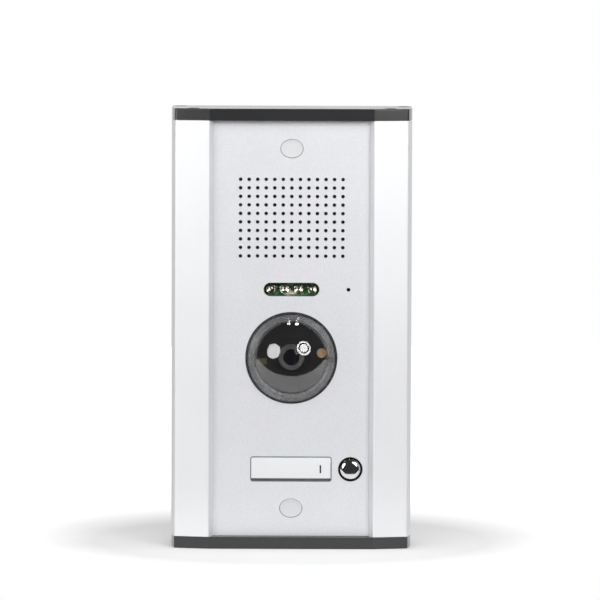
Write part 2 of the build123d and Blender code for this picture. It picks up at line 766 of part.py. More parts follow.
# ==== name window ===================================================================================
window_proud, window_bevel, window_sink = 0.9, 0.8, 0.6
card_thickness, card_inset, card_corner = 0.3, 1.6, 0.6
tray_depth, tray_wall = 7.0, 1.2
tray_flange_x, tray_flange_z = 1.5, 2.0
window_inner = plate_front - window_sink

with BuildPart() as name_window:
    with BuildSketch(facing(window_inner)):
        with Locations((0, label_z)):
            RectangleRounded(label_width, label_height, label_corner)
    extrude(amount=plate_front + window_proud - window_inner)
    chamfer(name_window.faces().sort_by(Axis.Y)[0].edges(), window_bevel)
finish(name_window.part, "name_window")

card_front = window_inner
with BuildPart() as name_card:
    with BuildSketch(facing(card_front)):
        with Locations((0, label_z)):
            RectangleRounded(label_width - card_inset, label_height - card_inset, card_corner)
    extrude(amount=-card_thickness)
finish(name_card.part, "name_card")

tray_front = card_front - card_thickness
tray_back = plate_back - tray_depth
with BuildPart() as name_tray:
    with BuildSketch(facing(tray_back)):
        with Locations((0, label_z)):
            RectangleRounded(label_width, label_height, label_corner)
    extrude(amount=tray_front - tray_back)
    with BuildSketch(facing(tray_back)):
        with Locations((0, label_z)):
            RectangleRounded(label_width + 2 * tray_flange_x, label_height + 2 * tray_flange_z,
                             label_corner)
    extrude(amount=plate_back - tray_back)
    with BuildSketch(facing(tray_back)):
        with Locations((0, label_z)):
            RectangleRounded(label_width - 2 * tray_wall, label_height - 2 * tray_wall, card_corner)
    extrude(amount=tray_front - tray_back - tray_wall, mode=Mode.SUBTRACT)
finish(name_tray.part, "name_tray")

# ==== call button ===================================================================================
button_board_front = tray_back
button_travel = 1.2
cap_bore_radius = button_radius + 0.1
collar_flange_radius = collar_radius + 1.6
collar_flange = 1.5
cap_flange_radius = button_radius + 0.8
cap_flange = 1.0
dome_rise = 0.8
cap_shoulder = plate_back - collar_flange
skirt_front = plate_front + 1.0
button_sphere = (button_radius**2 + dome_rise**2) / (2 * dome_rise)
collar_proud, collar_edge = 0.4, 0.3
stem_radius = 1.6
switch_size, switch_height = 6.0, 3.0
switch_front = button_board_front + switch_height
plunger_start = 1.0                     # plunger inside the switch at rest

with BuildPart() as button_collar:
    with BuildSketch(lathe_plane(button_x, label_z)):
        with BuildLine():
            Polyline(
                (cap_bore_radius, plate_front + collar_proud),
                (collar_radius - collar_edge, plate_front + collar_proud),
                (collar_radius, plate_front + collar_proud - collar_edge),
                (collar_radius, plate_back),
                (collar_flange_radius, plate_back),
                (collar_flange_radius, cap_shoulder),
                (cap_bore_radius, cap_shoulder),
                (cap_bore_radius, plate_front + collar_proud),
            )
        make_face()
    revolve(axis=lathe_axis(button_x, label_z))
finish(button_collar.part, "button_collar")

with BuildPart() as button_cap:
    with BuildSketch(lathe_plane(button_x, label_z)):
        flange_top = cap_shoulder - running_fit
        with BuildLine():
            Line((0, flange_top - cap_flange), (0, skirt_front + dome_rise))
            RadiusArc((0, skirt_front + dome_rise), (button_radius, skirt_front), button_sphere)
            Polyline(
                (button_radius, skirt_front),
                (button_radius, flange_top),
                (cap_flange_radius, flange_top),
                (cap_flange_radius, flange_top - cap_flange),
                (0, flange_top - cap_flange),
            )
        make_face()
    revolve(axis=lathe_axis(button_x, label_z))
finish(button_cap.part, "button_cap")

plunger_front = cap_shoulder - running_fit - cap_flange
plunger_length = plunger_front - switch_front + plunger_start
with BuildPart() as switch_plunger:
    with BuildSketch(facing(plunger_front)):
        with Locations((button_x, label_z)):
            Circle(stem_radius)
    extrude(amount=-plunger_length)
finish(switch_plunger.part, "switch_plunger")

with BuildPart() as button_switch:
    with BuildSketch(facing(button_board_front)):
        with Locations((button_x, label_z)):
            Rectangle(switch_size, switch_size)
    extrude(amount=switch_front - button_board_front)
    bore_depth = plunger_start + button_travel + edge_gap
    with BuildSketch(facing(switch_front)):
        with Locations((button_x, label_z)):
            Circle(stem_radius + running_fit)
    extrude(amount=-bore_depth, mode=Mode.SUBTRACT)
finish(button_switch.part, "button_switch")

spring_radius, spring_wire, spring_pitch = button_radius - 0.9, 0.25, 1.3
spring_bottom = button_board_front + spring_wire
spring_top = plunger_front - spring_wire
with BuildPart() as button_spring:
    with BuildLine() as coil:
        Helix(pitch=spring_pitch, height=spring_top - spring_bottom, radius=spring_radius,
              center=(button_x, -spring_bottom, label_z), direction=(0, -1, 0))
    with BuildSketch(Plane(origin=coil.line @ 0, z_dir=coil.line % 0)):
        Circle(spring_wire)
    sweep(is_frenet=True)
finish(button_spring.part, "button_spring")

button_spacer_inset = 3.2
board_left = -label_width / 2 - tray_flange_x - spacer_radius - edge_gap - button_spacer_inset - 1.0
board_right = button_x + 9.5
board_middle = (board_left + board_right) / 2
button_board_height = 24.0
button_spacer_rise = 9.2
name_lamp_x, name_lamp_size, name_lamp_height = 12.0, 3.0, 1.2
button_spacer_places = [(x, label_z + up * button_spacer_rise)
                        for x in (board_left + button_spacer_inset, board_right - button_spacer_inset)
                        for up in (-1, 1)]
with BuildPart() as button_board:
    with BuildSketch(facing(button_board_front)):
        with Locations((board_middle, label_z)):
            RectangleRounded(board_right - board_left, button_board_height, board_corner)
        with Locations(*button_spacer_places):
            Circle(screw_hole_radius, mode=Mode.SUBTRACT)
    extrude(amount=-board_thickness)
finish(button_board.part, "button_board")

with BuildPart() as button_spacers:
    with BuildSketch(facing(button_board_front)):
        with Locations(*button_spacer_places):
            RegularPolygon(spacer_radius, 6)
            Circle(screw_radius + running_fit, mode=Mode.SUBTRACT)
    extrude(amount=plate_back - button_board_front)
finish(button_spacers.part, "button_spacers")

with BuildPart() as name_lamps:
    with BuildSketch(facing(button_board_front)):
        with Locations((-name_lamp_x, label_z), (name_lamp_x, label_z)):
            Rectangle(name_lamp_size, name_lamp_size)
    extrude(amount=name_lamp_height)
finish(name_lamps.part, "name_lamps")

# ==== main board ====================================================================================
main_board_front = 13.6
main_spacer_x, main_spacer_rise = main_width / 2 - 4.0, main_height / 2 - 4.5
main_spacer_places = [(side * main_spacer_x, main_z + up * main_spacer_rise)
                      for side in (-1, 1) for up in (-1, 1)]
main_board_back = main_board_front - board_thickness
terminal_poles, terminal_pitch, terminal_height, terminal_width = 8, 5.0, 8.5, 8.0
terminal_z = main_z - 25.5
terminal_xs = [(pole - (terminal_poles - 1) / 2) * terminal_pitch for pole in range(terminal_poles)]
terminal_screw_radius, terminal_well, terminal_screw_height = 1.8, 3.5, 2.4
terminal_slot_width, terminal_slot_depth = 0.6, 0.8
wire_way, wire_way_depth = 3.2, 3.0
terminal_back = main_board_back - terminal_height

with BuildPart() as main_board:
    with BuildSketch(facing(main_board_front)):
        with Locations((0, main_z)):
            RectangleRounded(main_width, main_height, board_corner)
        with Locations(*main_spacer_places):
            Circle(screw_hole_radius, mode=Mode.SUBTRACT)
    extrude(amount=-board_thickness)
finish(main_board.part, "main_board")

with BuildPart() as main_spacers:
    with BuildSketch(facing(main_board_front)):
        with Locations(*main_spacer_places):
            RegularPolygon(long_spacer_radius, 6)
            Circle(screw_radius + running_fit, mode=Mode.SUBTRACT)
    extrude(amount=plate_back - main_board_front)
finish(main_spacers.part, "main_spacers")

with BuildPart() as terminal_block:
    with BuildSketch(facing(main_board_back)):
        with Locations((0, terminal_z)):
            Rectangle(terminal_poles * terminal_pitch, terminal_width)
    extrude(amount=-terminal_height)
    with BuildSketch(facing(terminal_back)):
        with Locations(*[(x, terminal_z) for x in terminal_xs]):
            Circle(terminal_screw_radius)
    extrude(amount=terminal_well, mode=Mode.SUBTRACT)
    wire_middle = (main_board_back - wire_way, terminal_z - (terminal_width - wire_way_depth) / 2)
    with Locations(*[(x, -wire_middle[0], wire_middle[1]) for x in terminal_xs]):
        Box(wire_way, wire_way, wire_way_depth, mode=Mode.SUBTRACT)
finish(terminal_block.part, "terminal_block")

terminal_screw_back = terminal_back + terminal_well - terminal_screw_height
with BuildPart() as terminal_screws:
    with BuildSketch(facing(terminal_screw_back)):
        with Locations(*[(x, terminal_z) for x in terminal_xs]):
            Circle(terminal_screw_radius - running_fit)
    extrude(amount=terminal_screw_height)
    with BuildSketch(facing(terminal_screw_back)):
        with Locations(*[(x, terminal_z) for x in terminal_xs]):
            Rectangle(2 * terminal_screw_radius * cross_share, terminal_slot_width)
    extrude(amount=terminal_slot_depth, mode=Mode.SUBTRACT)
finish(terminal_screws.part, "terminal_screws")

# radius and place of each capacitor, then size and place of each chip, from the board's middle
capacitor_list = [(4.0, -24.0, -5.5), (4.0, -24.0, 4.5), (3.15, -24.0, 14.5)]
capacitor_height = 7.5
chip_list = [(14.0, 14.0, 0.0, 0.5), (10.0, 6.0, 0.0, 20.5)]
chip_height = 2.0
relay_width, relay_length, relay_height, relay_round = 12.0, 15.0, 8.0, 0.5
relay_place = (24.0, main_z - 3.5)

with BuildPart() as capacitors:
    with BuildSketch(facing(main_board_back)):
        for radius, x, rise in capacitor_list:
            with Locations((x, main_z + rise)):
                Circle(radius)
    extrude(amount=-capacitor_height)
finish(capacitors.part, "capacitors")

with BuildPart() as control_chips:
    with BuildSketch(facing(main_board_back)):
        for width, length, x, rise in chip_list:
            with Locations((x, main_z + rise)):
                Rectangle(width, length)
    extrude(amount=-chip_height)
finish(control_chips.part, "control_chips")

with BuildPart() as door_relay:
    with BuildSketch(facing(main_board_back)):
        with Locations(relay_place):
            Rectangle(relay_width, relay_length)
    extrude(amount=-relay_height)
    fillet(door_relay.edges().filter_by(Axis.Y), relay_round)
finish(door_relay.part, "door_relay")

trimmer_size, trimmer_height = 7.0, 4.0
trimmer_shaft, trimmer_bore_depth, trimmer_shaft_depth = 1.2, 2.5, 2.3
trimmer_disc_radius, trimmer_disc = 2.6, 1.2
trimmer_slot_length, trimmer_slot_width, trimmer_slot_depth = 4.0, 0.8, 0.7
volume_place, gain_place = (22.0, main_z + 16.5), (32.0, main_z + 16.5)
trimmer_top = main_board_back - trimmer_height

with BuildPart() as trimmer_bodies:
    with BuildSketch(facing(main_board_back)):
        with Locations(volume_place, gain_place):
            Rectangle(trimmer_size, trimmer_size)
    extrude(amount=-trimmer_height)
    with BuildSketch(facing(trimmer_top)):
        with Locations(volume_place, gain_place):
            Circle(trimmer_shaft + running_fit)
    extrude(amount=trimmer_bore_depth, mode=Mode.SUBTRACT)
finish(trimmer_bodies.part, "trimmer_bodies")


def trimmer_rotor(place):
    """Slotted disc on a short shaft."""
    disc_front = trimmer_top - running_fit
    with BuildPart() as rotor:
        with BuildSketch(facing(disc_front)):
            with Locations(place):
                Circle(trimmer_shaft)
        extrude(amount=trimmer_shaft_depth)
        with BuildSketch(facing(disc_front)):
            with Locations(place):
                Circle(trimmer_disc_radius)
        extrude(amount=-trimmer_disc)
        with BuildSketch(facing(disc_front - trimmer_disc)):
            with Locations(place):
                Rectangle(trimmer_slot_length, trimmer_slot_width)
        extrude(amount=trimmer_slot_depth, mode=Mode.SUBTRACT)
    return rotor.part


finish(trimmer_rotor(volume_place), "volume_trimmer")
finish(trimmer_rotor(gain_place), "gain_trimmer")

# ==== pan-head screws that hold the boards, the dome retainer and the speaker clamps ================
grips = [(x, z, main_board_back) for x, z in main_spacer_places]
grips += [(x, z, button_board_front - board_thickness) for x, z in button_spacer_places]
grips += [(side * lamp_spacer_x, lamp_z, lamp_board_front - board_thickness) for side in (-1, 1)]
grips += [(x, z, clamp_front - clamp_thickness) for x, z in clamp_places]
diagonal = retainer_screw_circle * 0.5**0.5
grips += [(i * diagonal, dome_z + j * diagonal, retainer_back) for i in (-1, 1) for j in (-1, 1)]
board_cross = 2 * screw_head_radius * cross_share
with BuildPart() as board_screws:
    for x, z, seat in grips:
        with BuildSketch(facing(seat)):
            with Locations((x, z)):
                Circle(screw_radius)
        extrude(amount=screw_grip)
        with BuildSketch(facing(seat)):
            with Locations((x, z)):
                Circle(screw_head_radius)
        extrude(amount=-screw_head_height)
        with Locations((x, -(seat - screw_head_height), z)):
            Box(board_cross, cross_depth, cross_width, mode=Mode.SUBTRACT)
            Box(cross_width, cross_depth, board_cross, mode=Mode.SUBTRACT)
finish(board_screws.part, "board_screws")
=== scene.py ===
# %% [markdown]
# # A door intercom panel
# The panel is a wide aluminium frame with two sloping wings, a matt plate sunk
# between them, and two grey end caps. The engineering model already has every
# part at its real size, so this lesson only gives those parts their finishes,
# adds a few small things that are too soft for a solid model, and lights it all.
# We work in metres, and every place is read from the model instead of typed in.

# %% Load the model
import bpy
import bmesh
from math import asin, cos, pi, radians, sin
from mathutils import Matrix, Vector


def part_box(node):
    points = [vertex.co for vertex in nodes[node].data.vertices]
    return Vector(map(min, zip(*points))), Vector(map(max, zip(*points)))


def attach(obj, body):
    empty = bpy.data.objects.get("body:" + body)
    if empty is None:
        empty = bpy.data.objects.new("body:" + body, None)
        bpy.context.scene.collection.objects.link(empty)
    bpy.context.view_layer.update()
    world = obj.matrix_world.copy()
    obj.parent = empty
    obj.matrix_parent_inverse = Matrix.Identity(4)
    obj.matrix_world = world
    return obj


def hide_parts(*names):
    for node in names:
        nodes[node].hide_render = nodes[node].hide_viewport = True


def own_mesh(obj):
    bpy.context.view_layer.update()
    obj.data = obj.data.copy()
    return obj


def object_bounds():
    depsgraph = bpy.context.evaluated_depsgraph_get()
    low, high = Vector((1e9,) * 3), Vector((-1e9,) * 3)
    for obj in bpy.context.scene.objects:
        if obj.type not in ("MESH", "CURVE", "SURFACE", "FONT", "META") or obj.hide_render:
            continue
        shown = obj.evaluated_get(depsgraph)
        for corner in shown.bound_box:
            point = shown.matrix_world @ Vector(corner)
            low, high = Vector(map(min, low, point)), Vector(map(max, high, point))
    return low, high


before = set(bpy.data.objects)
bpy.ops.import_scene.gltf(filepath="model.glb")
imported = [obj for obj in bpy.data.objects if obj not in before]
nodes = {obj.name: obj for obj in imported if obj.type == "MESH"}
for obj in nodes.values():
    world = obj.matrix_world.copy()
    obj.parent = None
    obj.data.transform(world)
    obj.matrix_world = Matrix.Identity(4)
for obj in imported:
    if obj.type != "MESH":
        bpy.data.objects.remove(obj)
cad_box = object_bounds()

low, high = cad_box
print("parts:", len(nodes), "height:", round(high.z - low.z, 4))

# %% [markdown]
# ## Writing shader maths as sums
# A finish such as a grained metal is a small calculation over the surface. In the
# editor it is drawn with boxes and wires. Here one small class holds a wire, and
# plus, minus and times on it add the matching Math box, so a pattern reads like
# the sum it is. Text for each Math box would do the same job, but nobody could
# see the pattern in it.

# %% A wire that can be added and multiplied
class Wire:
    """One output of a box in a finish."""

    def __init__(self, finish, socket):
        self.finish, self.socket = finish, socket

    def maths(self, operation, *others):
        sockets = dict(enumerate((self, *others)))
        return self.finish.box("ShaderNodeMath", {"operation": operation}, sockets)[0]

    def __add__(self, other):
        return self.maths("ADD", other)

    __radd__ = __add__

    def __sub__(self, other):
        return self.maths("SUBTRACT", other)

    def __rsub__(self, other):
        return self.maths("MULTIPLY", -1.0).maths("ADD", other)

    def __mul__(self, other):
        return self.maths("MULTIPLY", other)

    __rmul__ = __mul__

    def __lt__(self, other):
        return self.maths("LESS_THAN", other)

    def root(self):
        return self.maths("SQRT")

    def wave(self):
        return self.maths("SINE")

    def limited(self):
        return self.maths("MAXIMUM", 0.0).maths("MINIMUM", 1.0)


class Box:
    """A box in a finish, whose outputs are read as wires."""

    def __init__(self, finish, made):
        self.finish, self.made = finish, made

    def __getitem__(self, output):
        return Wire(self.finish, self.made.outputs[output])


print("a wire knows:", [name for name in vars(Wire) if name != "__init__" and callable(getattr(Wire, name))])

# %% [markdown]
# ## One place where boxes are made
# A finish starts empty and is filled by a single method, which adds a box, sets
# its choices first and then its sockets. Each could be added by hand, but a
# choice such as an operation changes which sockets a box has, so the order
# matters and is best written down once. The world behind the panel is made of
# the same boxes, so it is built in the same way.

# %% A finish and its boxes
class Finish:
    """A material, or a world, that is built up box by box."""

    def __init__(self, name, kind="materials"):
        self.owner = getattr(bpy.data, kind).new(name)
        self.owner.use_nodes = True
        self.tree = self.owner.node_tree
        self.tree.nodes.clear()

    def box(self, kind, settings=None, sockets=None):
        made = self.tree.nodes.new(kind)
        for name, value in (settings or {}).items():
            setattr(made, name, value)
        for name, value in (sockets or {}).items():
            if isinstance(value, Wire):
                self.tree.links.new(value.socket, made.inputs[name])
            else:
                made.inputs[name].default_value = value
        return Box(self, made)

    def place(self, centre=(0, 0, 0), stretch=(1, 1, 1)):
        """Where a point of the surface is, seen from a centre and stretched."""
        where = self.box("ShaderNodeTexCoord")["Object"]
        moved = self.box("ShaderNodeVectorMath", {"operation": "SUBTRACT"}, {0: where, 1: centre})[0]
        return self.box("ShaderNodeVectorMath", {"operation": "MULTIPLY"}, {0: moved, 1: stretch})[0]

    def noise(self, where, scale, detail=2.0):
        return self.box("ShaderNodeTexNoise", {}, {"Vector": where, "Scale": scale, "Detail": detail})[0]

    def cells(self, where, scale, feature="F1"):
        settings = {"feature": feature}
        return self.box("ShaderNodeTexVoronoi", settings, {"Vector": where, "Scale": scale})["Distance"]

    def mix(self, share, first, second):
        """A colour that goes from the first to the second as share goes from 0 to 1."""
        return self.box("ShaderNodeMix", {"data_type": "RGBA"}, {0: share, 6: first, 7: second})[2]

    def bump(self, height, depth, strength=1.0):
        """Dents in the surface, depth metres deep where height is 1."""
        sockets = {"Height": height, "Distance": depth, "Strength": strength}
        return self.box("ShaderNodeBump", {}, sockets)[0]

    def shader(self, **sockets):
        """The principled shader with these sockets set."""
        named = {name.replace("_", " "): value for name, value in sockets.items()}
        return self.box("ShaderNodeBsdfPrincipled", {}, named)[0]

    def output(self, surface, kind="ShaderNodeOutputMaterial"):
        """Join a shader to the output, which completes the material or the world."""
        self.box(kind, {}, {"Surface": surface})
        return self.owner

    def surface(self, **sockets):
        """A material that is one principled shader with these sockets set."""
        return self.output(self.shader(**sockets))


def paint(red, green, blue):
    """A display colour of 0 to 255 as the linear colour that a shader needs."""
    shares = [level / 255 for level in (red, green, blue)]
    return (*(s / 12.92 if s <= 0.04045 else ((s + 0.055) / 1.055) ** 2.4 for s in shares), 1.0)


def toned(colour, share):
    """The same colour, darker where share is under 1 and lighter where it is over."""
    return (*(min(1.0, level * share) for level in colour[:3]), 1.0)


print("mid grey is", [round(level, 3) for level in paint(128, 128, 128)])

# %% [markdown]
# ## Aluminium, twice
# The wings are extruded aluminium with a satin anodised skin. Drawing the bar
# through its die leaves very faint lines along its length, so the grain is a
# noise that is squeezed across the bar and stretched along it. The plate between
# them is the same metal blasted with fine beads: an even, sparkling matt grain
# with no direction. Both are partly covered by the clear oxide skin, which is
# why they are set as mostly metal with a soft, wide shine. An anisotropic shader
# could draw the lines too, but it would need a direction for every face.

# %% Drawn and blasted aluminium
def drawn_aluminium():
    finish = Finish("satin_anodised_aluminium")
    where = finish.place()
    streaks = finish.noise(finish.place(stretch=(1, 1, 0.012)), 2600, 3)
    cloud = finish.noise(where, 22)
    grit = finish.noise(where, 5200)
    colour = finish.mix(streaks * 0.5 + cloud * 0.5, paint(217, 218, 220), paint(228, 229, 231))
    return finish.surface(
        Base_Color=colour, Metallic=0.5, Roughness=0.41 + 0.10 * streaks + 0.05 * cloud,
        Normal=finish.bump(streaks * 0.7 + grit * 0.3, 0.000006, 0.6))


def blasted_aluminium():
    finish = Finish("bead_blasted_aluminium")
    where = finish.place()
    grit = finish.noise(where, 1250, 4)
    fine = finish.noise(where, 5200, 2)
    cloud = finish.noise(where, 30)
    colour = finish.mix(grit * 0.75 + cloud * 0.25, paint(202, 203, 207), paint(231, 231, 234))
    return finish.surface(
        Base_Color=colour, Metallic=0.4, Roughness=0.46 + 0.12 * fine,
        Normal=finish.bump(grit * 0.6 + fine * 0.4, 0.000022, 0.8))


rail_metal = drawn_aluminium()
plate_metal = blasted_aluminium()
print("made:", rail_metal.name, "and", plate_metal.name)

# %% [markdown]
# ## Moulded plastics
# Caps, plugs, trays and sockets are injection moulded. A mould is spark eroded,
# so the plastic carries its fine pebbled texture, and the colour is slightly
# cloudy where the melt flowed. Each part could have a recipe of its own, but one
# recipe with a colour, a shine and a grain size covers all of them, because the
# real parts differ in just those three ways.

# %% One recipe for moulded parts
def moulded(name, colour, roughness, grain=1800, depth=0.00001, spread=0.16):
    """A pebbled plastic. spread is how much lighter and darker the colour wanders."""
    finish = Finish(name)
    where = finish.place()
    pebbles = finish.noise(where, grain, 3)
    cloud = finish.noise(where, grain / 40)
    shade = finish.mix(pebbles * 0.5 + cloud * 0.5, toned(colour, 1 - spread), toned(colour, 1 + spread))
    return finish.surface(
        Base_Color=shade, Roughness=roughness - 0.06 + 0.12 * cloud, Normal=finish.bump(pebbles, depth, 0.8))


cap_plastic = moulded("graphite_cap_plastic", paint(47, 47, 48), 0.17, grain=1500, depth=0.000002)
plug_plastic = moulded("pale_grey_plug_plastic", paint(209, 210, 212), 0.38, spread=0.05)
box_plastic = moulded("back_plate_plastic", paint(122, 124, 126), 0.55, grain=1300, depth=0.00002)
rubber = moulded("black_rubber", paint(30, 30, 31), 0.72, grain=900, depth=0.00003)
foam = moulded("grey_foam", paint(104, 104, 106), 0.92, grain=1100, depth=0.00012, spread=0.35)
camera_plastic = moulded("matt_black_lens_plastic", paint(17, 17, 18), 0.52)
barrel_plastic = moulded("satin_lens_barrel", paint(88, 88, 90), 0.34)
sensor_plastic = moulded("tan_sensor_resin", paint(196, 160, 118), 0.30, spread=0.10)
connector_plastic = moulded("olive_connector_plastic", paint(88, 85, 52), 0.40, spread=0.12)
tray_plastic = moulded("white_tray_plastic", paint(226, 227, 226), 0.45, spread=0.04)
gloss_plastic = moulded("glossy_black_plastic", paint(18, 18, 19), 0.14, depth=0.000002)
terminal_plastic = moulded("blue_terminal_plastic", paint(44, 92, 148), 0.42, spread=0.10)
component_resin = moulded("black_component_resin", paint(36, 36, 38), 0.48, grain=2600)
trimmer_plastic = moulded("cream_trimmer_plastic", paint(214, 204, 176), 0.45, spread=0.06)
ferrite = moulded("grey_ferrite", paint(68, 66, 66), 0.50, grain=1400, depth=0.00003, spread=0.22)
print("moulded, from", cap_plastic.name, "to", ferrite.name)

# %% [markdown]
# ## Plated steel and chrome
# Screws, posts, clamps and the spring are zinc plated, and the call button is
# polished chrome. Small plated parts are tumbled, which leaves fine marks, and the
# plating tarnishes in patches. One noise makes the marks and a coarser one the
# patches. A plain metal shader would look like a computer part, too clean.

# %% Plated metals
def turned(name, colour, roughness, depth=0.000008):
    """Bare or plated metal with tumbling marks depth metres deep and a little tarnish."""
    finish = Finish(name)
    where = finish.place()
    marks = finish.noise(where, 2200, 3)
    tarnish = finish.noise(where, 160, 2)
    return finish.surface(
        Base_Color=finish.mix(tarnish, toned(colour, 0.78), colour), Metallic=1.0,
        Roughness=roughness + 0.12 * tarnish, Normal=finish.bump(marks, depth, 0.7))


zinc = turned("zinc_plated_steel", paint(196, 200, 204), 0.26)
chrome = turned("polished_chrome", paint(226, 226, 228), 0.03, depth=0.0000004)
print("plated:", zinc.name, "and", chrome.name)

# %% [markdown]
# ## The ring behind the dome
# The clear dome is held from behind by a wide ring that was faced on a lathe, so
# fine circular tool marks run all the way round it. They catch the lamps as
# bright wedges. The marks could be cut into the mesh, but hundreds of turns would
# be a heavy mesh for so little depth. So they are a sine wave of the distance
# from the dome's axis, roughened with a little noise so that no two are alike.
# The same wave also darkens the colour in the hollows of the marks, down to three
# tenths of it: painted shade in the grooves.

# %% Circular tool marks
dome_low, dome_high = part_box("dome_window")
dome_middle = (dome_low + dome_high) / 2


def lathe_faced(name, colour, roughness, pitch, depth):
    """A faced metal, with tool marks pitch metres apart round the dome's axis, their hollows darkened as
    painted shade.
    """
    finish = Finish(name)
    where = finish.place(centre=(dome_middle.x, 0, dome_middle.z))
    parts = finish.box("ShaderNodeSeparateXYZ", {}, {0: where})
    across, up = parts["X"], parts["Z"]
    radius = (across * across + up * up).root()
    wander = finish.noise(where, 700, 2)
    rings = (radius * (2 * pi / pitch) + wander * 1.4).wave() * 0.5 + 0.5
    coarse = (radius * (2 * pi / (4.3 * pitch)) + wander).wave() * 0.5 + 0.5
    # The colour falls to three tenths in the hollows of the marks: painted shade in the grooves.
    shade = finish.mix((rings * 0.5 + coarse * 0.5).limited(), toned(colour, 0.30), colour)
    return finish.surface(
        Base_Color=shade, Metallic=0.9, Roughness=roughness + 0.08 * wander,
        Normal=finish.bump(rings * 0.6 + coarse * 0.4, depth, 1.0))


retainer_metal = lathe_faced("lathe_faced_ring", paint(206, 207, 208), 0.24, pitch=0.00095, depth=0.00012)
print("dome axis at", round(dome_middle.x, 4), round(dome_middle.z, 4))

# %% [markdown]
# ## Clear plastic that lets the lamps in
# The dome and the two windows are clear moulded plastic. True refraction gives
# the thick dark rim of a dome and the bright chamfer of a window, but it also
# stops lamp light from reaching what is behind, which would leave the inside
# black. So rays that only ask whether a lamp is in sight meet a transparent
# shader instead, chosen with the Light Path box. Simply making the plastic
# transparent for every ray would let the light in too, but lose the dark rim.

# %% Clear plastics
def clear(name, tint, index, smudge):
    """Clear plastic. smudge is how far wiping marks roughen it."""
    finish = Finish(name)
    wiped = finish.noise(finish.place(stretch=(1, 1, 0.35)), 90, 3)
    glass = finish.shader(
        Base_Color=tint, Transmission_Weight=1.0, IOR=index, Roughness=(wiped - 0.55).limited() * smudge)
    skin = tuple(level ** 0.5 for level in tint)
    open_way = finish.box("ShaderNodeBsdfTransparent", {}, {"Color": skin})[0]
    asked = finish.box("ShaderNodeLightPath")["Is Shadow Ray"]
    return finish.output(finish.box("ShaderNodeMixShader", {}, {0: asked, 1: glass, 2: open_way})[0])


dome_plastic = clear("clear_dome_plastic", paint(219, 219, 219), 1.64, 0.01)
window_plastic = clear("clear_window_plastic", paint(254, 254, 253), 1.49, 0.04)
lamp_resin = clear("clear_lamp_resin", paint(252, 248, 238), 1.50, 0.10)
lens_glass = clear("coated_lens_glass", paint(150, 154, 172), 1.62, 0.01)
print("clear finishes:", dome_plastic.name, window_plastic.name, lamp_resin.name, lens_glass.name)

# %% [markdown]
# ## Circuit boards
# The boards are green where the lacquer lies over bare board and paler where it
# lies over copper, with small tinned pads. Real tracks could be drawn one by one,
# but they are seen only through slots and holes. Cell patterns do: the borders
# between stretched cells read as tracks and the middles of small cells as pads.

# %% Circuit board
def circuit_board():
    finish = Finish("green_circuit_board")
    where = finish.place()
    flat = finish.place(stretch=(1, 0.05, 1))
    tracks = finish.cells(flat, 330, "DISTANCE_TO_EDGE") < 0.05
    pads = finish.cells(flat, 420) < 0.16
    weave = finish.noise(where, 900, 2)
    lacquer = finish.mix(weave, paint(24, 86, 50), paint(38, 112, 66))
    copper = finish.mix(tracks, lacquer, paint(92, 150, 86))
    tinned = finish.mix(pads, copper, paint(206, 204, 190))
    return finish.surface(
        Base_Color=tinned, Metallic=pads * 0.8, Roughness=0.38 - pads * 0.1,
        Normal=finish.bump(tracks * 0.6 + pads * 0.4, 0.00004, 0.6))


board_lacquer = circuit_board()
print("made:", board_lacquer.name)

# %% [markdown]
# ## Cloth, paper and card
# The speaker has an open black cloth in front of a cone of pressed paper, and the
# name card is plain white card. The cloth lies flat and is seen only through
# holes, so modelled threads would be wasted: two crossed sine waves give its
# square weave. Paper and card are short fibres, a noise that is drawn out one way.

# %% Cloth, paper and card
def woven(name, dark, pale, pitch):
    """An open square weave with threads pitch metres apart."""
    finish = Finish(name)
    parts = finish.box("ShaderNodeSeparateXYZ", {}, {0: finish.place()})
    turn = 2 * pi / pitch
    threads = (parts["X"] * turn).wave() * (parts["Z"] * turn).wave() * 0.5 + 0.5
    shade = finish.mix(threads, dark, pale)
    return finish.surface(
        Base_Color=shade, Roughness=0.75 + 0.2 * threads, Normal=finish.bump(threads, 0.00008, 1.0))


def pressed_paper(name, colour, grain):
    """Card or pulp with fibres lying in it."""
    finish = Finish(name)
    fibres = finish.noise(finish.place(stretch=(1, 1, 0.4)), grain, 4)
    cloud = finish.noise(finish.place(), 45)
    return finish.surface(
        Base_Color=finish.mix(fibres * 0.6 + cloud * 0.4, toned(colour, 0.93), colour),
        Roughness=0.66 + 0.2 * fibres, Normal=finish.bump(fibres, 0.000015, 0.6))


speaker_cloth = woven("open_black_cloth", paint(20, 20, 21), paint(52, 52, 54), 0.0006)
cone_paper = pressed_paper("pulp_cone", paint(60, 58, 56), 900)
name_card = pressed_paper("white_card", paint(249, 250, 252), 1600)
print("soft finishes:", speaker_cloth.name, cone_paper.name, name_card.name)

# %% [markdown]
# ## Which part wears which finish
# On the bench every part comes out of its own bin: rails, mouldings, rubber,
# plated screws. A chain of ifs could sort them here, but one table that pairs each
# finish with its parts is easier to read and to change. A part whose name is
# missing from it would keep a flat stand-in colour, so the last lines check that.

